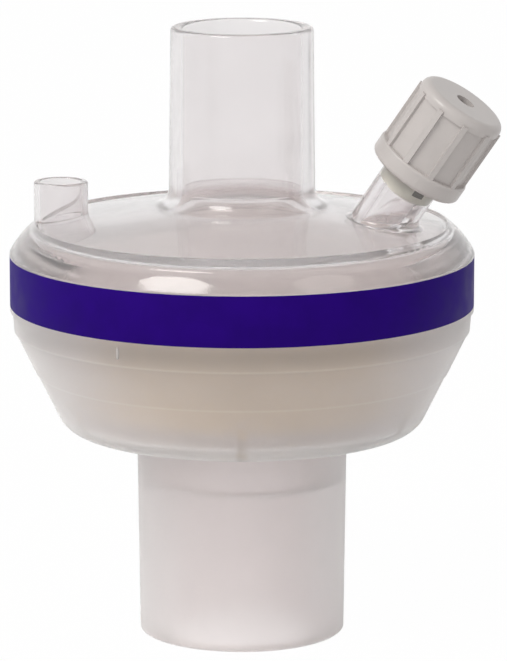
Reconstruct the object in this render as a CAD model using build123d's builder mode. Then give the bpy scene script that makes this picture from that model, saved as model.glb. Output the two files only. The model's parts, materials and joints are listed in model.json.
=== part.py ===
from build123d import *
import math
import os

# A small heat and moisture filter for a breathing circuit, in millimetres.
# The origin is the centre of the patient port's rim, and +Z runs up through the machine port.

# Standard conical connectors: the diameter grows by one part in forty along them
cone_taper = 1 / 40

# Patient port at the bottom: a 22 mm cone outside, a 15 mm socket inside
patient_cone_tip_diameter = 22.08
patient_cone_length = 22.4
patient_socket_mouth_diameter = 15.5
patient_socket_length = 16.5
throat_wall = 1.34
throat_floor_rounding = 1.0
patient_rim_rounding = 0.35
patient_root_rounding = 0.5

# Rim where the two housings are welded, hidden behind the band
rim_radius = 24.87
rim_lip_height = 0.5
rim_seat_wall = 2.67
rim_tongue_inset = 1.67
rim_tongue_height = 0.9
rim_tongue_clearance = 0.1
weld_below_band_top = 0.9

# Frosted bowl that holds the moisture exchanger, with a short skirt below the rim
bowl_height = 10.8
bowl_wall = 1.4
bowl_floor_thickness = 1.5
bowl_cone_angle = 26.7
bowl_corner_rounding = 2.6
bowl_inner_rounding = 1.0
skirt_height = 2.2
skirt_bottom_inset = 0.42
skirt_top_inset = 0.25
mould_step_below_skirt = 4.5
mould_step_depth = 0.1

# Printed band round the rim
band_height = 5.4
band_thickness = 0.12

# Clear upper housing: shoulder, and a shallow dome one small step below its edge
shoulder_land = 0.2
shoulder_height = 3.18
shoulder_width = 2.82
shoulder_bulge = 0.27
shoulder_edge_rounding = 0.12
dome_step_width = 0.25
dome_step_depth = 0.23
dome_step_rounding = 0.1
dome_angle = 10
dome_wall = 1.3
dome_inner_rounding = 1.2

# Machine port at the top: a 15 mm cone
machine_cone_tip_diameter = 15.2
machine_cone_rise = 21.02
machine_cone_wall = 1.3
machine_rim_rounding = 0.4
machine_root_rounding = 1.8
machine_mouth_rounding = 2.6

# Gas sampling port, a female luer taper on a tilted tube
port_inset = 6.23
port_direction = -18.1
port_tilt = 34.3
port_diameter = 6.4
port_length = 11.58
port_mouth_diameter = 4.3
luer_taper = 0.06
port_lug_reach = 0.7
port_lug_width = 2.6
port_lug_height = 1.3
port_root_rounding = 0.7
port_rim_rounding = 0.15
port_depth_below_dome = 3.5

# Parking post for the cap
post_inset = 2.55
post_direction = 174.7
post_diameter = 5.8
post_wall = 0.65
post_height = 4.12
post_rim_rounding = 0.2

# Screw cap on the sampling port, one moulding with its plug
cap_overlap = 5.3
cap_height = 9.75
cap_thread_room = 0.2
cap_wall = 0.5
cap_flange_reach = 0.65
cap_flange_height = 2.0
cap_flange_rounding = 0.5
cap_top_disc_reach = 0.3
cap_top_disc_height = 1.3
cap_top_rounding = 0.9
cap_rib_count = 10
cap_rib_width = 0.62
cap_rib_reach = 0.48
cap_rib_overlap = 0.3
cap_rib_turn = -25
cap_ceiling_clearance = 0.25
cap_hole_diameter = 2.1
cap_hole_depth = 2.6
plug_length = 7.6
plug_clearance = 0.04
plug_tip_rounding = 0.3

# Electrostatic filter pad, clamped at its edge between the housings
pad_thickness = 2.0
pad_edge_clearance = 0.2
pad_edge_rounding = 0.3

# Moisture exchanger, one strip of corrugated paper wound into a roll
roll_inset = 4.7
roll_strip_thickness = 1.4
roll_strip_gap = 0.5
roll_core_radius = 1.5
roll_top_clearance = 0.3

# Ribs of the bowl floor that carry and centre the roll
rib_count = 6
rib_turn = 30
rib_thickness = 0.9
rib_height = 1.5
rib_throat_gap = 0.9
rib_stop_height = 1.4
rib_stop_clearance = 0.3

# Heights that follow from the ones above, from the bottom up
bowl_floor_top = patient_cone_length + bowl_floor_thickness
skirt_bottom = patient_cone_length + bowl_height
mould_step_height = skirt_bottom - mould_step_below_skirt
rim_bottom = skirt_bottom + skirt_height
band_bottom = rim_bottom + rim_lip_height
band_top = band_bottom + band_height
weld_height = band_top - weld_below_band_top
pad_top = weld_height - rim_tongue_height
pad_seat = pad_top - pad_thickness
shoulder_start = band_top + shoulder_land
shoulder_edge_height = shoulder_start + shoulder_height
dome_edge_height = shoulder_edge_height - dome_step_depth
machine_cone_tip_height = shoulder_edge_height + machine_cone_rise
post_top = shoulder_edge_height + post_height
post_foot = dome_edge_height - dome_wall
roll_bottom = bowl_floor_top + rib_height
roll_top = pad_seat - roll_top_clearance

# Radii that follow, from the rim inwards
recess_radius = rim_radius - band_thickness
skirt_bottom_radius = rim_radius - skirt_bottom_inset
skirt_top_radius = rim_radius - skirt_top_inset
rim_tongue_radius = rim_radius - rim_tongue_inset
lower_rim_inner_radius = rim_tongue_radius + rim_tongue_clearance
rim_seat_radius = rim_radius - rim_seat_wall
shoulder_edge_radius = rim_radius - shoulder_width
dome_edge_radius = shoulder_edge_radius - dome_step_width
roll_radius = rim_seat_radius - roll_inset
stop_radius = roll_radius + rib_stop_clearance
patient_cone_tip_radius = patient_cone_tip_diameter / 2
patient_cone_root_radius = patient_cone_tip_radius + patient_cone_length * cone_taper / 2
socket_mouth_radius = patient_socket_mouth_diameter / 2
socket_end_radius = socket_mouth_radius - patient_socket_length * cone_taper / 2
throat_radius = patient_cone_tip_radius - throat_wall
rib_inner_radius = throat_radius + rib_throat_gap
machine_tip_radius = machine_cone_tip_diameter / 2
machine_bore_tip_radius = machine_tip_radius - machine_cone_wall

# Slopes, and walls measured across them
bowl_slope = math.tan(math.radians(bowl_cone_angle))
bowl_wall_across = bowl_wall / math.cos(math.radians(bowl_cone_angle))
dome_slope = math.tan(math.radians(dome_angle))
dome_wall_across = dome_wall / math.cos(math.radians(dome_angle))


def bowl_radius(height):
    """Outer radius of the bowl's cone at a height, below its mould step."""
    return skirt_bottom_radius - (skirt_bottom - height) * bowl_slope


def dome_height(radius):
    """Height of the dome's outer face at a distance from the axis."""
    return dome_edge_height + (dome_edge_radius - radius) * dome_slope


def port_bore_radius(distance):
    """Radius of the sampling port's taper at a distance from the dome."""
    return (port_mouth_diameter - (port_length - distance) * luer_taper) / 2


def nearest(sketch, *points):
    """The corners of a sketch that lie at the given points."""
    return [sketch.vertices().sort_by_distance(point)[0] for point in points]


# Machine port: its cone meets the dome where both have the same height and radius
machine_root_radius = machine_tip_radius + (machine_cone_tip_height - dome_height(0)) * cone_taper / 2
machine_root_radius /= 1 - dome_slope * cone_taper / 2
machine_root_height = dome_height(machine_root_radius)
bore_root_height = dome_height(machine_bore_tip_radius) - dome_wall_across
bore_root_radius = machine_bore_tip_radius + (machine_cone_tip_height - bore_root_height) * cone_taper / 4

# The sampling port's own plane: its origin lies on the dome, its z runs out along the tube
port_distance = dome_edge_radius - port_inset
port_azimuth = math.radians(port_direction)
port_lean = math.radians(port_tilt)
port_axis = Vector(
    math.sin(port_lean) * math.cos(port_azimuth),
    math.sin(port_lean) * math.sin(port_azimuth),
    math.cos(port_lean),
)
port_foot = Vector(
    port_distance * math.cos(port_azimuth),
    port_distance * math.sin(port_azimuth),
    dome_height(port_distance),
)
port_front = Vector(0, -1, 0).cross(port_axis).cross(port_axis) * -1
port_plane = Plane(origin=port_foot, x_dir=port_front, z_dir=port_axis)
port_lug_diameter = port_diameter + 2 * port_lug_reach

# The cap's own plane: its origin lies at the cap's open end
cap_plane = port_plane.offset(port_length - cap_overlap)
cap_axis = Axis(port_foot, port_axis)
cap_section = Plane(origin=cap_plane.origin, x_dir=port_front, z_dir=port_front.cross(port_axis))
cap_bore_radius = port_lug_diameter / 2 + cap_thread_room
cap_panel_apothem = cap_bore_radius + cap_wall
cap_flange_radius = cap_panel_apothem + cap_flange_reach
cap_top_radius = cap_panel_apothem + cap_top_disc_reach
cap_rib_radius = cap_panel_apothem + cap_rib_reach
cap_disc_bottom = cap_height - cap_top_disc_height
cap_ceiling = cap_overlap + cap_ceiling_clearance
plug_tip = port_length - plug_length

post_distance = shoulder_edge_radius - post_inset
post_azimuth = math.radians(post_direction)
post_place = (post_distance * math.cos(post_azimuth), post_distance * math.sin(post_azimuth))


# Lower housing: patient port, bowl and the rim below the weld
bowl_corner = (bowl_radius(patient_cone_length), patient_cone_length)
throat_floor_corner = (throat_radius, patient_socket_length)
patient_rim_corner = (patient_cone_tip_radius, 0)
patient_root_corner = (patient_cone_root_radius, patient_cone_length)
bowl_inner_corner = (bowl_radius(bowl_floor_top) - bowl_wall_across, bowl_floor_top)
seat_wall_start = skirt_bottom - (skirt_bottom_radius - rim_seat_radius - bowl_wall_across) / bowl_slope
rib_root = bowl_floor_top - bowl_floor_thickness / 2
rib_stop_top = roll_bottom + rib_stop_height

with BuildPart() as lower_housing:
    with BuildSketch(Plane.XZ) as lower_profile:
        with BuildLine():
            Polyline(
                (socket_mouth_radius, 0),
                patient_rim_corner,
                patient_root_corner,
                bowl_corner,
                (bowl_radius(mould_step_height) - mould_step_depth, mould_step_height),
                (bowl_radius(mould_step_height), mould_step_height),
                (skirt_bottom_radius - mould_step_depth, skirt_bottom),
                (skirt_bottom_radius, skirt_bottom),
                (skirt_top_radius, rim_bottom),
                (rim_radius, rim_bottom),
                (rim_radius, band_bottom),
                (recess_radius, band_bottom),
                (recess_radius, weld_height),
                (lower_rim_inner_radius, weld_height),
                (lower_rim_inner_radius, pad_seat),
                (rim_seat_radius, pad_seat),
                (rim_seat_radius, seat_wall_start),
                bowl_inner_corner,
                (throat_radius, bowl_floor_top),
                throat_floor_corner,
                (socket_end_radius, patient_socket_length),
                close=True,
            )
        make_face()
        fillet(nearest(lower_profile, bowl_corner), bowl_corner_rounding)
        fillet(nearest(lower_profile, bowl_inner_corner), bowl_inner_rounding)
        fillet(nearest(lower_profile, throat_floor_corner), throat_floor_rounding)
        fillet(nearest(lower_profile, patient_root_corner), patient_root_rounding)
        fillet(nearest(lower_profile, patient_rim_corner, (socket_mouth_radius, 0)), patient_rim_rounding)
    revolve(axis=Axis.Z)

    # Ribs inside the bowl, each rooted in its floor and wall
    rib_planes = [Plane.XZ.rotated((0, 0, rib_turn + 360 / rib_count * rib)) for rib in range(rib_count)]
    with BuildSketch(*rib_planes):
        with BuildLine():
            Polyline(
                (rib_inner_radius, rib_root),
                (stop_radius, rib_root),
                (bowl_radius(rib_stop_top) - bowl_wall / 2, rib_stop_top),
                (stop_radius, rib_stop_top),
                (stop_radius, roll_bottom),
                (rib_inner_radius, roll_bottom),
                close=True,
            )
        make_face()
    extrude(amount=rib_thickness / 2, both=True)

# Upper housing: rim above the weld, shoulder, dome, machine port, sampling port and post
machine_rim_corner = (machine_tip_radius, machine_cone_tip_height)
machine_root_corner = (machine_root_radius, machine_root_height)
dome_edge_corner = (dome_edge_radius, dome_edge_height)
shoulder_edge = (shoulder_edge_radius, shoulder_edge_height)

with BuildPart() as upper_housing:
    with BuildSketch(Plane.XZ) as upper_profile:
        with BuildLine():
            Polyline(
                (0, machine_cone_tip_height),
                machine_rim_corner,
                machine_root_corner,
                dome_edge_corner,
                shoulder_edge,
            )
            SagittaArc(shoulder_edge, (rim_radius, shoulder_start), shoulder_bulge)
            Polyline(
                (rim_radius, shoulder_start),
                (rim_radius, band_top),
                (recess_radius, band_top),
                (recess_radius, weld_height),
                (rim_tongue_radius, weld_height),
                (rim_tongue_radius, pad_top),
                (0, pad_top),
                (0, machine_cone_tip_height),
            )
        make_face()
        fillet(nearest(upper_profile, machine_root_corner), machine_root_rounding)
        fillet(nearest(upper_profile, dome_edge_corner), dome_step_rounding)
        fillet(nearest(upper_profile, shoulder_edge), shoulder_edge_rounding)
    revolve(axis=Axis.Z)

    # Sampling port's tube with its two lugs, and the post, each rooted inside the dome
    with BuildSketch(port_plane.offset(-port_depth_below_dome)):
        Circle(port_diameter / 2)
    extrude(amount=port_depth_below_dome + port_length)
    with BuildSketch(port_plane.offset(port_length - port_lug_height)):
        Circle(port_lug_diameter / 2)
        Rectangle(port_lug_diameter, port_lug_width, mode=Mode.INTERSECT)
    extrude(amount=port_lug_height)
    port_root = upper_housing.edges().filter_by(GeomType.BSPLINE).sort_by_distance(port_foot)[0]
    fillet(port_root, port_root_rounding)
    with BuildSketch(Plane.XY.offset(post_foot)):
        with Locations(post_place):
            Circle(post_diameter / 2)
            Circle(post_diameter / 2 - post_wall, mode=Mode.SUBTRACT)
    extrude(amount=post_top - post_foot)

    # Room above the filter pad, running up into the machine port's bore
    with BuildSketch(Plane.XZ) as plenum_profile:
        with BuildLine():
            Polyline(
                (0, pad_top),
                (rim_seat_radius, pad_top),
                (rim_seat_radius, dome_height(rim_seat_radius) - dome_wall_across),
                (bore_root_radius, bore_root_height),
                (machine_bore_tip_radius, machine_cone_tip_height),
                (0, machine_cone_tip_height),
                close=True,
            )
        make_face()
        plenum_corner = (rim_seat_radius, dome_height(rim_seat_radius) - dome_wall_across)
        fillet(nearest(plenum_profile, plenum_corner), dome_inner_rounding)
        fillet(nearest(plenum_profile, (bore_root_radius, bore_root_height)), machine_mouth_rounding)
    revolve(axis=Axis.Z, mode=Mode.SUBTRACT)

    # Luer taper through the sampling port into that room
    port_bore_bottom = -port_depth_below_dome
    with BuildSketch(port_plane.offset(port_bore_bottom)):
        Circle(port_bore_radius(port_bore_bottom))
    with BuildSketch(port_plane.offset(port_length)):
        Circle(port_bore_radius(port_length))
    loft(mode=Mode.SUBTRACT)

    round_edges = upper_housing.edges().filter_by(GeomType.CIRCLE)
    fillet(round_edges.group_by(Axis.Z)[-1], machine_rim_rounding)
    post_rim = upper_housing.edges().filter_by(GeomType.CIRCLE).filter_by_position(
        Axis.Z, post_top - post_rim_rounding, post_top + post_rim_rounding
    )
    fillet(post_rim, post_rim_rounding)
    port_rim_edges = upper_housing.edges().filter_by(GeomType.CIRCLE)
    port_rim_centre = port_plane.offset(port_length).origin
    fillet(port_rim_edges.sort_by_distance(port_rim_centre)[0], port_rim_rounding)

# Screw cap with ribs, panels, a blind centre hole and the plug that seals the taper
with BuildPart() as luer_cap:
    with BuildSketch(cap_section) as cap_profile:
        with BuildLine():
            Polyline(
                (0, 0),
                (cap_flange_radius, 0),
                (cap_flange_radius, cap_flange_height),
                (cap_panel_apothem, cap_flange_height),
                (cap_panel_apothem, cap_disc_bottom),
                (cap_top_radius, cap_disc_bottom),
                (cap_top_radius, cap_height),
                (0, cap_height),
                close=True,
            )
        make_face()
        fillet(nearest(cap_profile, (cap_top_radius, cap_height)), cap_top_rounding)
        fillet(nearest(cap_profile, (cap_flange_radius, 0)), cap_flange_rounding)
        fillet(nearest(cap_profile, (cap_flange_radius, cap_flange_height)), cap_flange_rounding / 2)
    revolve(axis=cap_axis)
    with BuildSketch(cap_plane.offset(cap_flange_height / 2)):
        RegularPolygon(cap_panel_apothem, cap_rib_count, major_radius=False, rotation=cap_rib_turn)
        with PolarLocations(0, cap_rib_count, start_angle=cap_rib_turn):
            with Locations((cap_rib_radius / 2, 0)):
                Rectangle(cap_rib_radius, cap_rib_width)
    extrude(amount=cap_disc_bottom + cap_rib_overlap - cap_flange_height / 2)
    with BuildSketch(cap_plane):
        Circle(cap_bore_radius)
    extrude(amount=cap_ceiling, mode=Mode.SUBTRACT)
    with BuildSketch(cap_plane.offset(cap_height - cap_hole_depth)):
        Circle(cap_hole_diameter / 2)
    extrude(amount=cap_hole_depth, mode=Mode.SUBTRACT)
    with BuildSketch(port_plane.offset(plug_tip)):
        Circle(port_bore_radius(plug_tip) - plug_clearance)
    with BuildSketch(cap_plane.offset(cap_ceiling)):
        Circle(port_bore_radius(port_length) - plug_clearance)
    loft()
    plug_end = luer_cap.faces().filter_by(GeomType.PLANE).sort_by(cap_axis)[0]
    fillet(plug_end.edges(), plug_tip_rounding)

# Band round the rim
with BuildPart() as label_band:
    with BuildSketch(Plane.XY.offset(band_bottom)):
        Circle(rim_radius)
        Circle(recess_radius, mode=Mode.SUBTRACT)
    extrude(amount=band_height)

# Filter pad
with BuildPart() as filter_pad:
    with BuildSketch(Plane.XY.offset(pad_seat)):
        Circle(lower_rim_inner_radius - pad_edge_clearance)
    extrude(amount=pad_thickness)
    fillet(filter_pad.edges(), pad_edge_rounding)

# Moisture exchanger: each half turn of the strip is an arc, centred in turn on either side of the axis
roll_pitch = roll_strip_thickness + roll_strip_gap
outer_turn_radius = roll_radius - roll_strip_thickness / 2
half_turns = int((outer_turn_radius - roll_core_radius) / (roll_pitch / 2))
inner_turn_radius = outer_turn_radius - half_turns * roll_pitch / 2


def strip_edge(side):
    """One long edge of the wound strip: side is +1 outside and -1 inside."""
    for turn in range(half_turns + 1):
        centre = (0, 0) if turn % 2 == 0 else (roll_pitch / 2, 0)
        radius = inner_turn_radius + turn * roll_pitch / 2 + side * roll_strip_thickness / 2
        CenterArc(centre, radius, 180 * (turn % 2), 180)


with BuildPart() as hme_roll:
    with BuildSketch(Plane.XY.offset(roll_bottom)):
        with BuildLine():
            strip_edge(1)
            strip_edge(-1)
            strip_start = inner_turn_radius
            Line(
                (strip_start - roll_strip_thickness / 2, 0),
                (strip_start + roll_strip_thickness / 2, 0),
            )
            end_side = -1 if half_turns % 2 == 0 else 1
            end_centre = 0 if half_turns % 2 == 0 else roll_pitch / 2
            Line(
                (end_centre + end_side * (outer_turn_radius - roll_strip_thickness / 2), 0),
                (end_centre + end_side * (outer_turn_radius + roll_strip_thickness / 2), 0),
            )
        make_face()
    extrude(amount=roll_top - roll_bottom)

os.makedirs("parts", exist_ok=True)
lower_housing.part.label = "lower_housing"
export_step(lower_housing.part, "parts/lower_housing.step")
upper_housing.part.label = "upper_housing"
export_step(upper_housing.part, "parts/upper_housing.step")
luer_cap.part.label = "luer_cap"
export_step(luer_cap.part, "parts/luer_cap.step")
label_band.part.label = "label_band"
export_step(label_band.part, "parts/label_band.step")
filter_pad.part.label = "filter_pad"
export_step(filter_pad.part, "parts/filter_pad.step")
hme_roll.part.label = "hme_roll"
export_step(hme_roll.part, "parts/hme_roll.step")
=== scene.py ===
import json
import math

import bmesh
import bpy
from mathutils import Matrix, Vector, noise


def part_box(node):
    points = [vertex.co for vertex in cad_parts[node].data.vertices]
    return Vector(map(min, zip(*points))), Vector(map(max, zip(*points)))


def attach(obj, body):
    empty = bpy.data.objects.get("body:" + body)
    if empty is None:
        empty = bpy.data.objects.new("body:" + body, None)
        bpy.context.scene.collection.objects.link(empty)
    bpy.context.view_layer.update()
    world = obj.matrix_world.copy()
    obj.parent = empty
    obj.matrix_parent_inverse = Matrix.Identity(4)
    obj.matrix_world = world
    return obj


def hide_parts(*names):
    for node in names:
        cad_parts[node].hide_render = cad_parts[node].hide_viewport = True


bl_info = {
    "name": "Breathing Circuit Filter",
    "version": (1, 0, 0),
    "blender": (4, 5, 0),
    "location": "View3D > Sidebar > Filter",
    "description": "Dresses a small breathing circuit filter and sets up a plain pale studio around it",
    "category": "Object",
}

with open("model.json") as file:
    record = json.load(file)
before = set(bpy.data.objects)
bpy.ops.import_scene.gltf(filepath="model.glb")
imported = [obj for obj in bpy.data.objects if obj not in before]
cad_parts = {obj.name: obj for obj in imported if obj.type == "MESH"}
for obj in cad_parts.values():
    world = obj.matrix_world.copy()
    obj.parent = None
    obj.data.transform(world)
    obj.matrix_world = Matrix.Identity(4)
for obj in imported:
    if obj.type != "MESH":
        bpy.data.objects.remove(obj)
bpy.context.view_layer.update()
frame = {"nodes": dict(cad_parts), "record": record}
UP = Vector((0, 0, 1))
FULL_TURN = 2 * math.pi
# Light is guided far along the clear wall before it leaves it again
LIGHT_BOUNCES = 32
SCUFF_ROUGHNESS = 0.15
SCUFF_FADE = 0.08
# Painted shade: the skirt below the band is coloured darker for the band's shadow and the dark gap behind it
SKIRT_PAINTED_SHADE = 0.78
PLAIN_WHITE = (1, 1, 1, 1)
# Painted highlight: the pale colour along the bowl's mould steps and its bottom lip stands in for light
# caught there
PAINTED_HIGHLIGHT = (0.99, 0.97, 0.965)
WARM_FILL = (1, 0.985, 0.975)
WARM_LAMP = (1.0, 0.99, 0.95)
# The Mix node has sockets of one name for each kind of data, so its colour sockets go by number
MIX_FACTOR = 0
MIX_FIRST_COLOUR = 6
MIX_SECOND_COLOUR = 7
MIX_RESULT_COLOUR = 2


def colour_setting(name, description, default):
    return bpy.props.FloatVectorProperty(
        name=name, description=description, subtype="COLOR", size=4, min=0, max=1, default=(*default, 1),
    )


def length_setting(name, description, default):
    return bpy.props.FloatProperty(
        name=name, description=description, subtype="DISTANCE", unit="LENGTH", min=0, max=1, default=default,
        precision=5,
    )


def share_setting(name, description, default):
    return bpy.props.FloatProperty(
        name=name, description=description, subtype="FACTOR", min=0, max=1, default=default,
    )


def number_setting(name, description, default):
    return bpy.props.FloatProperty(name=name, description=description, min=0, max=100, default=default)


def power_setting(name, description, default):
    return bpy.props.FloatProperty(
        name=name, description=description, subtype="POWER", unit="POWER", min=0, max=100, default=default,
    )


def angle_setting(name, description, degrees):
    return bpy.props.FloatProperty(
        name=name, description=description, subtype="ANGLE", unit="ROTATION", default=math.radians(degrees),
    )


class FilterShellSettings(bpy.types.PropertyGroup):
    """The two moulded housings"""

    clear_tint: colour_setting(
        "Clear Tint", "Colour that one wall of the clear housing gives to what is behind it",
        (0.93, 0.91, 0.916),
    )
    clear_ior: number_setting("Clear IOR", "Refractive index of the clear housing", 1.55)
    clear_haze: share_setting("Clear Haze", "Share of the light that the clear wall scatters", 0.06)
    clear_shade: colour_setting(
        "Clear Shade", "Shade in which lamps shine through the clear wall", (0.93, 0.92, 0.92),
    )
    frosted_tint: colour_setting(
        "Frosted Tint", "Colour that one wall of the frosted housing gives to what is behind it",
        (0.906, 0.86, 0.86),
    )
    frosted_ior: number_setting("Frosted IOR", "Refractive index of the frosted housing", 1.5)
    frosted_haze: share_setting("Frosted Haze", "Share of the light that the frosted wall scatters", 0.18)
    frosted_shade: colour_setting(
        "Frosted Shade", "Shade in which lamps shine through the frosted wall", (0.87, 0.85, 0.84),
    )
    # The mould lines are painted highlights: pale colour where the small mould steps catch the light
    step_highlight_width: length_setting("Mould Line Width", "Width of the pale lines round the bowl", 0.00022)
    upper_step_highlight: length_setting("Upper Mould Line", "Height of the line below the skirt", 0.0332)
    lower_step_highlight: length_setting("Lower Mould Line", "Height of the line on the bowl's cone", 0.0287)
    shoulder_height: length_setting("Shoulder Height", "Middle of the softer gloss on the shoulder", 0.0402)
    shoulder_width: length_setting("Shoulder Width", "How far the softer gloss fades out", 0.0034)
    # The pale lip is painted light: the bowl's bottom corner is coloured pale for the light that shines
    # through it there
    lip_light_height: length_setting("Lip Height", "Height of the pale lip round the bowl's bottom", 0.0229)
    lip_light_width: length_setting("Lip Width", "How far the pale lip fades out", 0.0022)
    # The darker skirt is painted shade from the band's shadow and the dark gap behind it, not thicker
    # plastic; its height also places the gate mark
    skirt_height: length_setting("Skirt Height", "Height of the thick, darker skirt", 0.0346)
    skirt_shade_width: length_setting("Skirt Width", "How far the darker skirt fades out", 0.0022)
    gate_tint: colour_setting("Gate Tint", "Colour of the scar left by the runner", (0.48, 0.45, 0.44))
    gate_width: length_setting("Gate Width", "Width of the gate mark on the skirt", 0.00035)
    gate_height: length_setting("Gate Height", "Height of the gate mark on the skirt", 0.0013)
    gate_distance: length_setting("Gate Distance", "Distance of the gate mark from the axis", 0.02443)
    gate_azimuth: angle_setting("Gate Azimuth", "Where the gate mark is, from the front to the left", -31.5)


class FilterBandSettings(bpy.types.PropertyGroup):
    """The printed band round the rim"""

    ink_blue: colour_setting("Ink Blue", "Ink colour of the band", (0.0195, 0.0008, 0.175))
    backing_white: colour_setting("Backing White", "Colour of the film behind the ink", (0.75, 0.73, 0.73))
    film_thickness: length_setting("Film Thickness", "Thickness of the printed film", 0.00012)
    edge_rounding: length_setting("Edge Rounding", "Rounding of the film's outer edges", 0.00004)


class FilterCapSettings(bpy.types.PropertyGroup):
    """The screw cap of the gas sampling port"""

    plug_tint: colour_setting("Plug Tint", "Colour of the plug where it wets the bore", (0.80, 0.775, 0.68))
    # The dark notch is a small dark patch painted flat on the plug's face; no notch is cut into it
    dark_patch_tint: colour_setting("Notch Tint", "Colour of the small dark notch in the plug", (0.16, 0.15, 0.13))
    plug_length: length_setting("Plug Length", "How far the plug reaches into the port", 0.0076)
    thread_height: length_setting("Thread Height", "How far the thread stands out of the cap's bore", 0.0005)
    thread_pitch: length_setting("Thread Pitch", "Rise of the thread in one turn", 0.005)
    bore_radius: length_setting("Bore Radius", "Radius of the cap's bore round the port", 0.0041)
    cap_overlap: length_setting("Cap Overlap", "How far the cap reaches down over the port", 0.0053)
    cap_grey: colour_setting("Cap Grey", "Colour of the moulded cap", (0.54, 0.505, 0.493))


class FilterMediaSettings(bpy.types.PropertyGroup):
    """What the housings hold: the felt pad and the corrugated paper roll"""

    felt_colour: colour_setting("Felt Colour", "Colour of the filter pad", (0.53, 0.465, 0.455))
    felt_crown: length_setting("Felt Crown", "How far the free middle of the pad stands proud", 0.00025)
    felt_clamped_width: length_setting("Clamped Width", "Width of the pad's edge between the housings", 0.001)
    paper_colour: colour_setting("Paper Colour", "Colour of the corrugated paper roll", (0.97, 0.79, 0.48))
    paper_thickness: length_setting("Paper Thickness", "Thickness of the paper", 0.00014)
    flute_length: length_setting("Flute Length", "Length of one wave of the corrugated paper", 0.0021)
    turn_pitch: length_setting("Turn Pitch", "Distance between two turns of the roll", 0.0019)
    core_radius: length_setting("Core Radius", "Radius at which the roll starts", 0.0015)


class FilterStageSettings(bpy.types.PropertyGroup):
    """Floor, lamps and surrounding light"""

    floor_colour: colour_setting("Floor Colour", "Colour of the plain floor", (0.8, 0.8, 0.8))
    floor_glow: share_setting("Floor Glow", "Share of plain white in the floor that the camera sees", 0.985)
    floor_glow_in_glass: share_setting(
        "Floor Glow In Glass", "Share of plain white in the floor that gloss and glass show", 0.7,
    )
    key_power: power_setting("Key Power", "Power of the softbox on the left", 4.7)
    second_power: power_setting("Second Power", "Power of the softbox on the right", 0.5)
    fill_left: number_setting("Fill Left", "Brightness of the soft light from the left", 1.2)
    fill_right: number_setting("Fill Right", "Brightness of the soft light from the right", 0.58)
    fill_falloff: share_setting("Fill Falloff", "How much darker the soft light is straight overhead", 0.55)
    tent_top: share_setting("Tent Top", "Brightness of the tent overhead, as gloss and glass show it", 0.58)


def link(tree, out_socket, in_socket):
    tree.links.new(out_socket, in_socket)


def new_material(name):
    """A material with an empty node tree, its tree and its output node"""
    mat = bpy.data.materials.new(name)
    mat.use_nodes = True
    tree = mat.node_tree
    tree.nodes.clear()
    output = tree.nodes.new("ShaderNodeOutputMaterial")
    return mat, tree, output


def add_node(tree, kind, **values):
    """A node with its properties and free inputs set by name; a space in a name is an underscore"""
    node = tree.nodes.new(kind)
    for key, value in values.items():
        if hasattr(node, key):
            setattr(node, key, value)
        else:
            node.inputs[key.replace("_", " ")].default_value = value
    return node


def place_group(tree, group, **values):
    """A node that holds this group, with its inputs set by name; a space in a name is an underscore"""
    node = tree.nodes.new("ShaderNodeGroup")
    node.node_tree = group
    for key, value in values.items():
        node.inputs[key.replace("_", " ")].default_value = value
    return node


def new_group(name, inputs, outputs):
    """A shader node group with number inputs and their defaults, and number outputs"""
    group = bpy.data.node_groups.new(name, "ShaderNodeTree")
    for socket_name, default in inputs.items():
        socket = group.interface.new_socket(socket_name, in_out="INPUT", socket_type="NodeSocketFloat")
        socket.default_value = default
    for socket_name in outputs:
        group.interface.new_socket(socket_name, in_out="OUTPUT", socket_type="NodeSocketFloat")
    enter = group.nodes.new("NodeGroupInput")
    leave = group.nodes.new("NodeGroupOutput")
    return group, enter, leave


def math_node(tree, operation, first, second=None):
    """A Math node whose inputs are sockets or numbers; gives its result socket"""
    node = tree.nodes.new("ShaderNodeMath")
    node.operation = operation
    for socket, value in zip(node.inputs, (first, second)):
        if value is None:
            continue
        if isinstance(value, bpy.types.NodeSocket):
            link(tree, value, socket)
        else:
            socket.default_value = value
    return node.outputs[0]


def tone(tree, factor, dark, light, low=0.3, high=0.7):
    """A colour that goes from dark to light as the factor goes from low to high"""
    ramp = tree.nodes.new("ShaderNodeValToRGB")
    for element, place, colour in zip(ramp.color_ramp.elements, (low, high), (dark, light)):
        element.position = place
        element.color = (*colour[:3], 1)
    link(tree, factor, ramp.inputs["Fac"])
    return ramp.outputs["Color"]


def blended(tree, factor, colour, other):
    """The colour of a socket, turned into another plain colour where the factor is 1"""
    mix = add_node(tree, "ShaderNodeMix", data_type="RGBA")
    mix.inputs[MIX_SECOND_COLOUR].default_value = (*other, 1)
    link(tree, factor, mix.inputs[MIX_FACTOR])
    link(tree, colour, mix.inputs[MIX_FIRST_COLOUR])
    return mix.outputs[MIX_RESULT_COLOUR]


def shaded(colour, share):
    """This colour at a share of its brightness"""
    return tuple(part * share for part in colour[:3])


def dress(node_name, material):
    """Gives a CAD node this material in all of its slots"""
    mesh = frame["nodes"][node_name].data
    mesh.materials.clear()
    mesh.materials.append(material)


def finish_mesh(bm, name, *materials, smooth=True):
    """Makes an object at the origin from a bmesh and returns it"""
    mesh = bpy.data.meshes.new(name)
    bm.to_mesh(mesh)
    bm.free()
    for face in mesh.polygons:
        face.use_smooth = smooth
    for material in materials:
        mesh.materials.append(material)
    piece = bpy.data.objects.new(name, mesh)
    bpy.context.scene.collection.objects.link(piece)
    return piece


def chain(bm, points, closed=False):
    """Vertices at these points, joined by edges in their order"""
    verts = [bm.verts.new(point) for point in points]
    nexts = verts[1:] + verts[:1] if closed else verts[1:]
    edges = [bm.edges.new(pair) for pair in zip(verts, nexts)]
    return verts, edges


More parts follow.
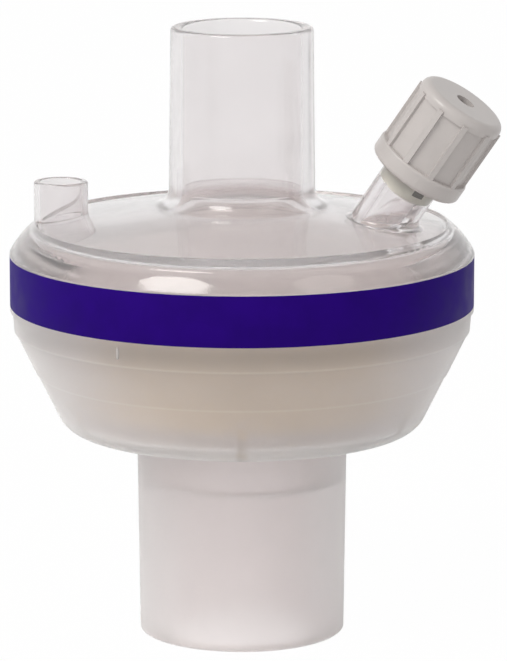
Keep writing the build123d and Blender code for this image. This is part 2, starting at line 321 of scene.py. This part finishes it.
def spin_full(bm, steps):
    """Turns all that the bmesh holds once round the Z axis, and welds the ends"""
    weld_distance = 1e-7
    bmesh.ops.spin(
        bm, geom=bm.verts[:] + bm.edges[:], cent=(0, 0, 0), axis=UP, dvec=(0, 0, 0),
        angle=FULL_TURN, steps=steps, use_merge=True, use_duplicate=False,
    )
    bmesh.ops.remove_doubles(bm, verts=bm.verts, dist=weld_distance)
    bmesh.ops.recalc_face_normals(bm, faces=bm.faces)


def moulded_grain_group():
    """Fine grain and slow waviness of a moulded surface"""
    if "moulded_grain" in bpy.data.node_groups:
        return bpy.data.node_groups["moulded_grain"]
    group, enter, leave = new_group(
        "moulded_grain", {"Grain Size": 0.0002, "Wave Size": 0.006, "Wave Share": 0.5}, ("Height", "Patch"),
    )
    coords = group.nodes.new("ShaderNodeTexCoord")
    grain = add_node(group, "ShaderNodeTexNoise", Detail=3.0, Roughness=0.6)
    wave = add_node(group, "ShaderNodeTexNoise", Detail=2.0, Roughness=0.5)
    for size_name, texture in (("Grain Size", grain), ("Wave Size", wave)):
        link(group, math_node(group, "DIVIDE", 1.0, enter.outputs[size_name]), texture.inputs["Scale"])
        link(group, coords.outputs["Object"], texture.inputs["Vector"])
    mix = add_node(group, "ShaderNodeMix", data_type="FLOAT")
    link(group, enter.outputs["Wave Share"], mix.inputs["Factor"])
    link(group, grain.outputs["Fac"], mix.inputs["A"])
    link(group, wave.outputs["Fac"], mix.inputs["B"])
    link(group, mix.outputs["Result"], leave.inputs["Height"])
    link(group, wave.outputs["Fac"], leave.inputs["Patch"])
    return group


def handling_marks_group():
    """Sparse short scuffs from handling, as a mask"""
    if "handling_marks" in bpy.data.node_groups:
        return bpy.data.node_groups["handling_marks"]
    group, enter, leave = new_group(
        "handling_marks", {"Scuff Size": 0.001, "Sparseness": 0.66}, ("Mask",),
    )
    coords = group.nodes.new("ShaderNodeTexCoord")
    stretch = add_node(group, "ShaderNodeMapping", vector_type="POINT")
    stretch.inputs["Rotation"].default_value = (0.5, 0.3, 0.8)
    stretch.inputs["Scale"].default_value = (1.0, 7.0, 2.5)
    scuffs = add_node(group, "ShaderNodeTexNoise", Detail=4.0, Roughness=0.65)
    cut = group.nodes.new("ShaderNodeMapRange")
    cut.interpolation_type = "SMOOTHSTEP"
    link(group, coords.outputs["Object"], stretch.inputs["Vector"])
    link(group, stretch.outputs["Vector"], scuffs.inputs["Vector"])
    link(group, math_node(group, "DIVIDE", 1.0, enter.outputs["Scuff Size"]), scuffs.inputs["Scale"])
    link(group, scuffs.outputs["Fac"], cut.inputs["Value"])
    link(group, enter.outputs["Sparseness"], cut.inputs["From Min"])
    link(group, math_node(group, "ADD", enter.outputs["Sparseness"], SCUFF_FADE), cut.inputs["From Max"])
    link(group, cut.outputs["Result"], leave.inputs["Mask"])
    return group


def level_line_group():
    """A soft line round the object at one height, as a mask"""
    if "level_line" in bpy.data.node_groups:
        return bpy.data.node_groups["level_line"]
    group, enter, leave = new_group("level_line", {"Height": 0.03, "Width": 0.0002}, ("Mask",))
    coords = group.nodes.new("ShaderNodeTexCoord")
    split = group.nodes.new("ShaderNodeSeparateXYZ")
    fade = group.nodes.new("ShaderNodeMapRange")
    fade.interpolation_type = "SMOOTHSTEP"
    fade.inputs["To Min"].default_value = 1.0
    fade.inputs["To Max"].default_value = 0.0
    link(group, coords.outputs["Object"], split.inputs["Vector"])
    offset = math_node(group, "SUBTRACT", split.outputs["Z"], enter.outputs["Height"])
    link(group, math_node(group, "ABSOLUTE", offset), fade.inputs["Value"])
    link(group, enter.outputs["Width"], fade.inputs["From Max"])
    link(group, fade.outputs["Result"], leave.inputs["Mask"])
    return group


def level_mask(tree, height, width):
    """The mask of a line round the object at this height, which fades out over this width either way"""
    return place_group(tree, level_line_group(), Height=height, Width=width).outputs["Mask"]


def pressed_fibres_group():
    """Fibres and clumps of felt or paper"""
    if "pressed_fibres" in bpy.data.node_groups:
        return bpy.data.node_groups["pressed_fibres"]
    group, enter, leave = new_group(
        "pressed_fibres", {"Fibre Size": 0.0002, "Clump Size": 0.0024, "Curl": 1.2}, ("Height", "Clumps"),
    )
    coords = group.nodes.new("ShaderNodeTexCoord")
    fibres = add_node(group, "ShaderNodeTexNoise", Detail=5.0, Roughness=0.72)
    clumps = add_node(group, "ShaderNodeTexNoise", Detail=3.0, Roughness=0.55)
    for size_name, texture in (("Fibre Size", fibres), ("Clump Size", clumps)):
        link(group, math_node(group, "DIVIDE", 1.0, enter.outputs[size_name]), texture.inputs["Scale"])
        link(group, coords.outputs["Object"], texture.inputs["Vector"])
    link(group, enter.outputs["Curl"], fibres.inputs["Distortion"])
    link(group, fibres.outputs["Fac"], leave.inputs["Height"])
    link(group, clumps.outputs["Fac"], leave.inputs["Clumps"])
    return group


def surface_relief(tree, height, shader, strength, distance):
    """Bumps in the surface, this far from crest to hollow at full strength"""
    bump = add_node(tree, "ShaderNodeBump", Strength=strength, Distance=distance)
    link(tree, height, bump.inputs["Height"])
    link(tree, bump.outputs["Normal"], shader.inputs["Normal"])


def patchy_roughness(tree, patch, shader, low, high, marks=None):
    """Roughness that wanders between low and high and rises where the surface is scuffed"""
    spread = add_node(tree, "ShaderNodeMapRange", From_Min=0.3, From_Max=0.7, To_Min=low, To_Max=high)
    link(tree, patch, spread.inputs["Value"])
    result = spread.outputs["Result"]
    if marks is not None:
        result = math_node(tree, "ADD", result, math_node(tree, "MULTIPLY", marks, SCUFF_ROUGHNESS))
    link(tree, result, shader.inputs["Roughness"])


def lets_lamps_through(tree, shader, shade, output):
    """Lamps shine through the wall in this shade, without waiting for light to find its way by chance"""
    path = tree.nodes.new("ShaderNodeLightPath")
    see_through = add_node(tree, "ShaderNodeBsdfTransparent", Color=shade)
    mix = tree.nodes.new("ShaderNodeMixShader")
    link(tree, path.outputs["Is Shadow Ray"], mix.inputs["Fac"])
    link(tree, shader.outputs["BSDF"], mix.inputs[1])
    link(tree, see_through.outputs["BSDF"], mix.inputs[2])
    link(tree, mix.outputs["Shader"], output.inputs["Surface"])


def clear_plastic(shell):
    mat, tree, output = new_material("clear_styrene")
    grain = place_group(tree, moulded_grain_group(), Grain_Size=0.0009, Wave_Size=0.007, Wave_Share=0.97)
    marks = place_group(tree, handling_marks_group(), Scuff_Size=0.0016, Sparseness=0.67)
    glass = add_node(
        tree, "ShaderNodeBsdfPrincipled", IOR=shell.clear_ior, Transmission_Weight=1 - shell.clear_haze,
    )
    tint = tone(tree, grain.outputs["Patch"], shaded(shell.clear_tint, 0.97), shell.clear_tint)
    link(tree, tint, glass.inputs["Base Color"])
    surface_relief(tree, grain.outputs["Height"], glass, strength=0.5, distance=0.00004)
    shoulder = level_mask(tree, shell.shoulder_height, shell.shoulder_width)
    softened = math_node(tree, "MAXIMUM", marks.outputs["Mask"], shoulder)
    patchy_roughness(tree, grain.outputs["Patch"], glass, low=0.03, high=0.09, marks=softened)
    lets_lamps_through(tree, glass, shell.clear_shade, output)
    return mat


def frosted_plastic(shell):
    mat, tree, output = new_material("frosted_polypropylene")
    grain = place_group(tree, moulded_grain_group(), Grain_Size=0.0003, Wave_Size=0.005, Wave_Share=0.4)
    marks = place_group(tree, handling_marks_group(), Scuff_Size=0.0012, Sparseness=0.68)
    # Painted highlights along the two mould steps, where light catches them
    upper = level_mask(tree, shell.upper_step_highlight, shell.step_highlight_width)
    lower = level_mask(tree, shell.lower_step_highlight, shell.step_highlight_width)
    # Painted light on the bowl's bottom lip
    lip = level_mask(tree, shell.lip_light_height, shell.lip_light_width)
    # Mask of the painted shade on the skirt below the band
    skirt = level_mask(tree, shell.skirt_height, shell.skirt_shade_width)
    body = add_node(
        tree, "ShaderNodeBsdfPrincipled", IOR=shell.frosted_ior,
        Transmission_Weight=1 - shell.frosted_haze, Sheen_Weight=0.6, Sheen_Roughness=0.5,
    )
    lines = math_node(tree, "MAXIMUM", upper, lower)
    lines = math_node(tree, "MAXIMUM", lines, lip)
    base = tone(tree, grain.outputs["Patch"], shaded(shell.frosted_tint, 0.97), shell.frosted_tint)
    # Painted shade: the skirt below the band is darkened for the band's shadow and the dark gap behind it
    base = blended(tree, skirt, base, shaded(shell.frosted_tint, SKIRT_PAINTED_SHADE))
    base = blended(tree, lines, base, PAINTED_HIGHLIGHT)
    link(tree, base, body.inputs["Base Color"])
    surface_relief(tree, grain.outputs["Height"], body, strength=0.6, distance=0.00004)
    patchy_roughness(tree, grain.outputs["Patch"], body, low=0.32, high=0.42, marks=marks.outputs["Mask"])
    lets_lamps_through(tree, body, shell.frosted_shade, output)
    return mat


def printed_film(band):
    mat, tree, output = new_material("printed_blue_film")
    grain = place_group(tree, moulded_grain_group(), Grain_Size=0.0004, Wave_Size=0.003, Wave_Share=0.5)
    ink = add_node(tree, "ShaderNodeBsdfPrincipled", IOR=1.4, Specular_IOR_Level=0.06)
    colour = tone(tree, grain.outputs["Patch"], shaded(band.ink_blue, 0.85), band.ink_blue)
    link(tree, colour, ink.inputs["Base Color"])
    surface_relief(tree, grain.outputs["Height"], ink, strength=0.35, distance=0.00002)
    patchy_roughness(tree, grain.outputs["Patch"], ink, low=0.42, high=0.54)
    link(tree, ink.outputs["BSDF"], output.inputs["Surface"])
    return mat


def film_backing(band):
    mat, tree, output = new_material("film_backing")
    grain = place_group(tree, moulded_grain_group(), Grain_Size=0.0003, Wave_Size=0.004, Wave_Share=0.5)
    body = add_node(tree, "ShaderNodeBsdfPrincipled", Roughness=0.7)
    colour = tone(tree, grain.outputs["Patch"], shaded(band.backing_white, 0.94), band.backing_white)
    link(tree, colour, body.inputs["Base Color"])
    surface_relief(tree, grain.outputs["Height"], body, strength=0.4, distance=0.00002)
    link(tree, body.outputs["BSDF"], output.inputs["Surface"])
    return mat


def cap_plastic(cap):
    mat, tree, output = new_material("grey_cap_plastic")
    grain = place_group(tree, moulded_grain_group(), Grain_Size=0.00025, Wave_Size=0.003, Wave_Share=0.4)
    marks = place_group(tree, handling_marks_group(), Scuff_Size=0.0009, Sparseness=0.75)
    body = add_node(tree, "ShaderNodeBsdfPrincipled", IOR=1.5, Specular_IOR_Level=0.5)
    colour = tone(tree, grain.outputs["Patch"], shaded(cap.cap_grey, 0.94), cap.cap_grey)
    link(tree, colour, body.inputs["Base Color"])
    surface_relief(tree, grain.outputs["Height"], body, strength=0.5, distance=0.00003)
    patchy_roughness(tree, grain.outputs["Patch"], body, low=0.29, high=0.34, marks=marks.outputs["Mask"])
    link(tree, body.outputs["BSDF"], output.inputs["Surface"])
    return mat


def matt_plastic(name, tint):
    """Plain moulded plastic in one colour, for the small pieces"""
    mat, tree, output = new_material(name)
    grain = place_group(tree, moulded_grain_group(), Grain_Size=0.0002, Wave_Size=0.0015, Wave_Share=0.6)
    body = add_node(tree, "ShaderNodeBsdfPrincipled", IOR=1.46)
    colour = tone(tree, grain.outputs["Patch"], shaded(tint, 0.9), tint)
    link(tree, colour, body.inputs["Base Color"])
    surface_relief(tree, grain.outputs["Height"], body, strength=0.4, distance=0.00002)
    patchy_roughness(tree, grain.outputs["Patch"], body, low=0.3, high=0.45)
    link(tree, body.outputs["BSDF"], output.inputs["Surface"])
    return mat


def felt(media):
    mat, tree, output = new_material("filter_felt")
    fibres = place_group(tree, pressed_fibres_group(), Fibre_Size=0.0002, Clump_Size=0.0022, Curl=1.3)
    body = add_node(tree, "ShaderNodeBsdfPrincipled", Roughness=0.9, Sheen_Weight=0.15)
    colour = tone(tree, fibres.outputs["Clumps"], shaded(media.felt_colour, 0.85), media.felt_colour)
    link(tree, colour, body.inputs["Base Color"])
    surface_relief(tree, fibres.outputs["Height"], body, strength=0.8, distance=0.0001)
    link(tree, body.outputs["BSDF"], output.inputs["Surface"])
    return mat


def paper(media):
    mat, tree, output = new_material("corrugated_paper")
    fibres = place_group(tree, pressed_fibres_group(), Fibre_Size=0.00035, Clump_Size=0.005, Curl=0.6)
    body = add_node(tree, "ShaderNodeBsdfPrincipled", Roughness=0.85)
    colour = tone(tree, fibres.outputs["Clumps"], shaded(media.paper_colour, 0.86), media.paper_colour)
    link(tree, colour, body.inputs["Base Color"])
    surface_relief(tree, fibres.outputs["Height"], body, strength=0.6, distance=0.00005)
    link(tree, body.outputs["BSDF"], output.inputs["Surface"])
    return mat


class FILTER_OT_housings(bpy.types.Operator):
    """Finish the clear upper housing and the frosted lower housing"""

    bl_idname = "filter.housings"
    bl_label = "Housings"

    def execute(self, context):
        shell = context.scene.filter_shell
        dress("upper_housing", clear_plastic(shell))
        dress("lower_housing", frosted_plastic(shell))
        self.build_gate_mark(shell)
        return {"FINISHED"}

    def build_gate_mark(self, shell):
        """The small scar on the skirt where the moulding was cut from its runner"""
        bm = bmesh.new()
        bmesh.ops.create_cube(bm, size=1)
        bmesh.ops.scale(bm, verts=bm.verts, vec=(shell.gate_width, shell.gate_width, shell.gate_height))
        bmesh.ops.bevel(
            bm, geom=bm.edges, offset=shell.gate_width / 3, segments=3, profile=0.5, affect="EDGES",
            material=-1,
        )
        bmesh.ops.translate(bm, verts=bm.verts, vec=(0, -shell.gate_distance, shell.skirt_height))
        bmesh.ops.rotate(bm, verts=bm.verts, matrix=Matrix.Rotation(shell.gate_azimuth, 3, "Z"))
        piece = finish_mesh(bm, "gate_mark", matt_plastic("gate_scar", shell.gate_tint))
        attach(piece, "root")


class FILTER_OT_band(bpy.types.Operator):
    """Build the bare blue band round the rim, with its pale backing"""

    bl_idname = "filter.band"
    bl_label = "Band"

    steps = 360
    inward_share = 0.5

    def execute(self, context):
        band = context.scene.filter_band
        low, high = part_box("label_band")
        outside = high[0]
        inside = outside - band.film_thickness
        bm = bmesh.new()
        corners = ((inside, low[2]), (outside, low[2]), (outside, high[2]), (inside, high[2]))
        verts, _ = chain(bm, [(radius, 0, height) for radius, height in corners], closed=True)
        bmesh.ops.bevel(
            bm, geom=verts[1:3], offset=band.edge_rounding, segments=2, profile=0.5, affect="VERTICES",
            material=-1,
        )
        spin_full(bm, self.steps)
        for face in bm.faces:
            centre = face.calc_center_median()
            outward = Vector((centre.x, centre.y, 0)).normalized()
            face.material_index = 0 if face.normal.dot(outward) > self.inward_share else 1
        piece = finish_mesh(bm, "printed_band", printed_film(band), film_backing(band))
        sharpen(piece)
        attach(piece, "root")
        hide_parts("label_band")
        return {"FINISHED"}


def sharpen(piece, degrees=40):
    """Keeps edges that turn by more than this angle sharp"""
    mesh = piece.data
    bm = bmesh.new()
    bm.from_mesh(mesh)
    limit = math.radians(degrees)
    for edge in bm.edges:
        edge.smooth = edge.is_manifold and edge.calc_face_angle() < limit
    bm.to_mesh(mesh)
    bm.free()


def port_placing():
    """The sampling port's place, with its origin in the mouth and Z out along the tube, and its radius"""
    mounts = {mount["name"]: mount for mount in frame["record"]["mounts"]}
    mount = mounts["gas_sampling_luer"]
    turned = Vector(mount["axis"]).to_track_quat("Z", "Y").to_matrix().to_4x4()
    return Matrix.Translation(mount["pos_m"]) @ turned, mount["dims"]["r_mm"] / 1000


class FILTER_OT_cap(bpy.types.Operator):
    """Finish the screw cap of the gas sampling port, and build its thread and its plug's sealing face"""

    bl_idname = "filter.cap"
    bl_label = "Cap"

    luer_taper = 0.06
    wetting_depth = 0.000015
    plug_steps = 96
    plug_rounding = 0.0003
    # Where the small dark patch is painted on the plug's face
    dark_patch_bottom = 0.0009
    dark_patch_top = 0.0018
    dark_patch_half_angle = math.radians(17)
    dark_patch_side = Vector((0.62, -0.78, 0))
    thread_turn = 0.6 * FULL_TURN
    thread_start = 0.0006
    thread_root_width = 0.001
    thread_crest_width = 0.0004
    thread_starts = 2
    thread_steps = 60

    def execute(self, context):
        cap = context.scene.filter_cap
        grey = cap_plastic(cap)
        dress("luer_cap", grey)
        self.build_plug_face(cap)
        self.build_thread(cap, grey)
        return {"FINISHED"}

    def build_plug_face(self, cap):
        """The plug's tapered face, pressed into the bore, so that the clear wall shows it at full width"""
        placing, mouth_radius = port_placing()
        tip = -cap.plug_length
        levels = (tip, tip + self.dark_patch_bottom, tip + self.dark_patch_top, -cap.cap_overlap / 2)
        bm = bmesh.new()
        outline = [(self.face_radius(mouth_radius, level), 0, level) for level in levels]
        outline = [(0, 0, levels[0]), *outline, (0, 0, levels[-1])]
        verts, _ = chain(bm, outline)
        bmesh.ops.bevel(
            bm, geom=[verts[1]], offset=self.plug_rounding, segments=4, profile=0.5, affect="VERTICES",
            material=-1,
        )
        spin_full(bm, self.plug_steps)
        # A small dark patch is painted flat on the face; the face has no notch cut in it
        side = placing.to_3x3().inverted() @ self.dark_patch_side
        side.z = 0
        side.normalize()
        for face in bm.faces:
            centre = face.calc_center_median()
            outward = Vector((centre.x, centre.y, 0))
            in_height = levels[1] < centre.z < levels[2]
            if in_height and outward.angle(side, math.pi) < self.dark_patch_half_angle:
                face.material_index = 1
        bmesh.ops.transform(bm, matrix=placing, verts=bm.verts)
        plug = matt_plastic("cap_plug_plastic", cap.plug_tint)
        notch = matt_plastic("cap_plug_dark_patch", cap.dark_patch_tint)
        piece = finish_mesh(bm, "cap_plug_face", plug, notch)
        sharpen(piece)
        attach(piece, "cap")

    def face_radius(self, mouth_radius, level):
        """Radius of the tapered face at this height above the port's mouth"""
        return mouth_radius + level * self.luer_taper / 2 + self.wetting_depth

    def build_thread(self, cap, grey):
        """Two starts of a steep thread inside the cap's skirt"""
        placing, _ = port_placing()
        base = cap.bore_radius + cap.thread_height / 10
        crest = cap.bore_radius - cap.thread_height
        root = self.thread_root_width / 2
        tip = self.thread_crest_width / 2
        start = self.thread_start - cap.cap_overlap
        rise = UP * cap.thread_pitch * self.thread_turn / FULL_TURN / self.thread_steps
        bm = bmesh.new()
        for thread in range(self.thread_starts):
            corners = ((base, -root), (crest, -tip), (crest, tip), (base, root))
            verts, edges = chain(bm, [(reach, 0, start + level) for reach, level in corners], closed=True)
            turned = Matrix.Rotation(thread * FULL_TURN / self.thread_starts, 3, "Z")
            bmesh.ops.rotate(bm, verts=verts, matrix=turned)
            bmesh.ops.spin(
                bm, geom=verts + edges, cent=(0, 0, 0), axis=UP, angle=self.thread_turn, dvec=rise,
                steps=self.thread_steps, use_duplicate=False,
            )
        bmesh.ops.holes_fill(bm, edges=[edge for edge in bm.edges if edge.is_boundary], sides=4)
        bmesh.ops.recalc_face_normals(bm, faces=bm.faces)
        bmesh.ops.transform(bm, matrix=placing, verts=bm.verts)
        piece = finish_mesh(bm, "cap_thread", grey)
        sharpen(piece)
        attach(piece, "cap")


class FILTER_OT_pad(bpy.types.Operator):
    """Build the felt filter pad, held at its edge between the housings"""

    bl_idname = "filter.pad"
    bl_label = "Filter Pad"

    steps = 240
    rings = 48
    edge_rounding = 0.0003
    crown_power = 6
    slow_wave = 0.006
    fine_wave = 0.0011
    slow_height = 0.00010
    fine_height = 0.00005

    def execute(self, context):
        media = context.scene.filter_media
        low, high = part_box("filter_pad")
        radius = high[0]
        bm = bmesh.new()
        corners = ((0, low[2]), (radius, low[2]), (radius, high[2]), (0, high[2]))
        verts, _ = chain(bm, [(reach, 0, height) for reach, height in corners])
        bmesh.ops.bevel(
            bm, geom=verts[1:3], offset=self.edge_rounding, segments=3, profile=0.5, affect="VERTICES",
            material=-1,
        )
        long_edges = [edge for edge in bm.edges if edge.calc_length() > radius / 2]
        bmesh.ops.subdivide_edges(bm, edges=long_edges, cuts=self.rings)
        spin_full(bm, self.steps)
        free_radius = radius - media.felt_clamped_width
        middle = (low[2] + high[2]) / 2
        for vert in bm.verts:
            reach = math.hypot(vert.co.x, vert.co.y)
            if reach < free_radius:
                rise = 1 - (reach / free_radius) ** self.crown_power
                unevenness = self.slow_height * noise.noise(vert.co / self.slow_wave)
                unevenness += self.fine_height * noise.noise(vert.co / self.fine_wave)
                crown = media.felt_crown if vert.co.z > middle else 0
                vert.co.z += rise * (crown + unevenness)
        bmesh.ops.recalc_face_normals(bm, faces=bm.faces)
        piece = finish_mesh(bm, "felt_pad", felt(media))
        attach(piece, "root")
        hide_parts("filter_pad")
        return {"FINISHED"}


class FILTER_OT_roll(bpy.types.Operator):
    """Build the moisture exchanger: a strip of corrugated paper wound into a roll"""

    bl_idname = "filter.roll"
    bl_label = "Exchanger Roll"

    liner_step = 0.0006
    points_per_flute = 8

    def execute(self, context):
        media = context.scene.filter_media
        low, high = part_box("hme_roll")
        outside = high[0] - media.paper_thickness
        bm = bmesh.new()
        liner_length = self.strip_length(media, outside)
        flutes_length = self.strip_length(media, outside - media.turn_pitch)
        liner = [
            self.on_spiral(media, step * self.liner_step, 0, low[2])
            for step in range(int(liner_length / self.liner_step))
        ]
        chain(bm, liner)
        wave_height = media.turn_pitch / 2 - media.paper_thickness
        flute_step = media.flute_length / self.points_per_flute
        flutes = []
        for step in range(int(flutes_length / flute_step)):
            wave = math.cos(FULL_TURN * step / self.points_per_flute)
            lift = media.turn_pitch / 2 + wave_height * wave
            flutes.append(self.on_spiral(media, step * flute_step, lift, low[2]))
        chain(bm, flutes)
        raised = bmesh.ops.extrude_edge_only(bm, edges=bm.edges[:])
        top = [item for item in raised["geom"] if isinstance(item, bmesh.types.BMVert)]
        bmesh.ops.translate(bm, verts=top, vec=(0, 0, high[2] - low[2]))
        bmesh.ops.solidify(bm, geom=bm.faces[:], thickness=media.paper_thickness)
        bmesh.ops.recalc_face_normals(bm, faces=bm.faces)
        piece = finish_mesh(bm, "exchanger_roll", paper(media))
        sharpen(piece)
        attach(piece, "root")
        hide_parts("hme_roll")
        return {"FINISHED"}

    @staticmethod
    def strip_length(media, radius):
        """Length of the spiral between the core and this radius"""
        return math.pi * (radius ** 2 - media.core_radius ** 2) / media.turn_pitch

    @staticmethod
    def on_spiral(media, length, lift, height):
        """The point this far along the spiral, lifted outwards from it"""
        radius = math.sqrt(media.core_radius ** 2 + length * media.turn_pitch / math.pi)
        turn = FULL_TURN * (radius - media.core_radius) / media.turn_pitch
        reach = radius + lift
        return reach * math.cos(turn), reach * math.sin(turn), height


class FILTER_OT_stage(bpy.types.Operator):
    """Set up the floor, the lamps, the surrounding light and the camera"""

    bl_idname = "filter.stage"
    bl_label = "Stage"

    def execute(self, context):
        stage = context.scene.filter_stage
        make_floor(stage)
        make_softbox("softbox_left", stage.key_power, azimuth=-43, elevation=50, width=0.52, height=0.40)
        make_softbox("softbox_right", stage.second_power, azimuth=53, elevation=50, width=0.46, height=0.36)
        make_tent(stage)
        make_camera()
        context.scene.view_settings.view_transform = "Standard"
        context.scene.cycles.max_bounces = LIGHT_BOUNCES
        context.scene.cycles.transmission_bounces = LIGHT_BOUNCES
        context.scene.cycles.glossy_bounces = LIGHT_BOUNCES
        return {"FINISHED"}


def make_floor(stage):
    """A pale floor that keeps the object's shadow and looks nearly white to the camera"""
    radius = 1.2
    gap_below_the_object = 0.00005
    mat, tree, output = new_material("pale_floor")
    lit = add_node(tree, "ShaderNodeBsdfDiffuse", Color=stage.floor_colour)
    glow = add_node(tree, "ShaderNodeEmission", Color=PLAIN_WHITE, Strength=1.0)
    path = tree.nodes.new("ShaderNodeLightPath")
    direct = math_node(tree, "MULTIPLY", path.outputs["Is Camera Ray"], stage.floor_glow)
    in_glass = math_node(tree, "MAXIMUM", path.outputs["Is Glossy Ray"], path.outputs["Is Transmission Ray"])
    in_glass = math_node(tree, "MULTIPLY", in_glass, stage.floor_glow_in_glass)
    mix = tree.nodes.new("ShaderNodeMixShader")
    link(tree, math_node(tree, "MAXIMUM", direct, in_glass), mix.inputs["Fac"])
    link(tree, lit.outputs["BSDF"], mix.inputs[1])
    link(tree, glow.outputs["Emission"], mix.inputs[2])
    link(tree, mix.outputs["Shader"], output.inputs["Surface"])
    bm = bmesh.new()
    bmesh.ops.create_circle(bm, cap_ends=True, segments=96, radius=radius)
    bmesh.ops.translate(bm, verts=bm.verts, vec=(0, 0, -gap_below_the_object))
    floor = finish_mesh(bm, "floor", mat, smooth=False)


def make_softbox(name, power, azimuth, elevation, width, height):
    """An oval softbox one metre from the object's middle, at this azimuth and elevation in degrees"""
    middle = Vector((0, 0, 0.04))
    turn = math.radians(azimuth)
    rise = math.radians(elevation)
    away = Vector((math.sin(turn) * math.cos(rise), -math.cos(turn) * math.cos(rise), math.sin(rise)))
    lamp = bpy.data.lights.new(name, "AREA")
    lamp.shape = "ELLIPSE"
    lamp.size = width
    lamp.size_y = height
    lamp.energy = power
    lamp.color = WARM_LAMP
    holder = bpy.data.objects.new(name, lamp)
    holder.location = middle + away
    holder.rotation_euler = away.to_track_quat("Z", "Y").to_euler()
    bpy.context.scene.collection.objects.link(holder)


def make_tent(stage):
    """White to the camera, soft light on matt surfaces, and a tent that greys upwards in gloss and glass"""
    world = bpy.data.worlds.new("studio_tent")
    world.use_nodes = True
    tree = world.node_tree
    tree.nodes.clear()
    output = tree.nodes.new("ShaderNodeOutputWorld")
    coords = tree.nodes.new("ShaderNodeTexCoord")
    split = tree.nodes.new("ShaderNodeSeparateXYZ")
    link(tree, coords.outputs["Generated"], split.inputs["Vector"])
    walls = tree.nodes.new("ShaderNodeBackground")
    overhead = (stage.tent_top, stage.tent_top, stage.tent_top)
    link(tree, tone(tree, split.outputs["Z"], PLAIN_WHITE, overhead, low=0, high=1), walls.inputs["Color"])
    fill = tree.nodes.new("ShaderNodeBackground")
    left = shaded(WARM_FILL, stage.fill_left)
    right = shaded(WARM_FILL, stage.fill_right)
    across = math_node(tree, "MULTIPLY", math_node(tree, "ADD", split.outputs["X"], 1.0), 0.5)
    link(tree, tone(tree, across, left, right, low=0, high=1), fill.inputs["Color"])
    dimmed = math_node(tree, "MULTIPLY", split.outputs["Z"], -stage.fill_falloff)
    link(tree, math_node(tree, "ADD", dimmed, 1.0), fill.inputs["Strength"])
    white = add_node(tree, "ShaderNodeBackground", Color=PLAIN_WHITE, Strength=1.0)
    path = tree.nodes.new("ShaderNodeLightPath")
    mix_tent = tree.nodes.new("ShaderNodeMixShader")
    mix_camera = tree.nodes.new("ShaderNodeMixShader")
    seen = math_node(tree, "MAXIMUM", path.outputs["Is Glossy Ray"], path.outputs["Is Transmission Ray"])
    link(tree, seen, mix_tent.inputs["Fac"])
    link(tree, fill.outputs["Background"], mix_tent.inputs[1])
    link(tree, walls.outputs["Background"], mix_tent.inputs[2])
    link(tree, path.outputs["Is Camera Ray"], mix_camera.inputs["Fac"])
    link(tree, mix_tent.outputs["Shader"], mix_camera.inputs[1])
    link(tree, white.outputs["Background"], mix_camera.inputs[2])
    link(tree, mix_camera.outputs["Shader"], output.inputs["Surface"])
    bpy.context.scene.world = world


def make_camera():
    """The photograph's view: its lens and shift are worked out in the photograph's pixels"""
    photo_height = 661
    focal_length_in_pixels = 4345
    sideways_shift_in_pixels = 11.5
    looking_down = 11.31
    sensor = 36
    place = (0, -0.458, 0.1244)
    camera = bpy.data.cameras.new("camera")
    camera.sensor_width = sensor
    camera.lens = focal_length_in_pixels * sensor / photo_height
    camera.shift_x = sideways_shift_in_pixels / photo_height
    camera.clip_start = 0.01
    camera.clip_end = 20
    holder = bpy.data.objects.new("camera", camera)
    holder.location = place
    holder.rotation_euler = (math.radians(90 - looking_down), 0, 0)
    bpy.context.scene.collection.objects.link(holder)
    bpy.context.scene.camera = holder


class FILTER_PT_panel(bpy.types.Panel):
    """Lists the steps that dress the filter"""

    bl_label = "Breathing Circuit Filter"
    bl_idname = "FILTER_PT_panel"
    bl_space_type = "VIEW_3D"
    bl_region_type = "UI"
    bl_category = "Filter"

    def draw(self, context):
        for step in STEPS:
            self.layout.operator(step.bl_idname)


SETTINGS = {
    "filter_shell": FilterShellSettings,
    "filter_band": FilterBandSettings,
    "filter_cap": FilterCapSettings,
    "filter_media": FilterMediaSettings,
    "filter_stage": FilterStageSettings,
}
STEPS = (
    FILTER_OT_stage, FILTER_OT_housings, FILTER_OT_band, FILTER_OT_cap, FILTER_OT_pad, FILTER_OT_roll,
)
CLASSES = (*SETTINGS.values(), *STEPS, FILTER_PT_panel)


def register():
    for cls in CLASSES:
        bpy.utils.register_class(cls)
    for name, cls in SETTINGS.items():
        setattr(bpy.types.Scene, name, bpy.props.PointerProperty(type=cls))


def unregister():
    for name in SETTINGS:
        delattr(bpy.types.Scene, name)
    for cls in reversed(CLASSES):
        bpy.utils.unregister_class(cls)


def main():
    register()
    bpy.ops.filter.stage()
    bpy.ops.filter.housings()
    bpy.ops.filter.band()
    bpy.ops.filter.cap()
    bpy.ops.filter.pad()
    bpy.ops.filter.roll()


if __name__ == "__main__":
    main()
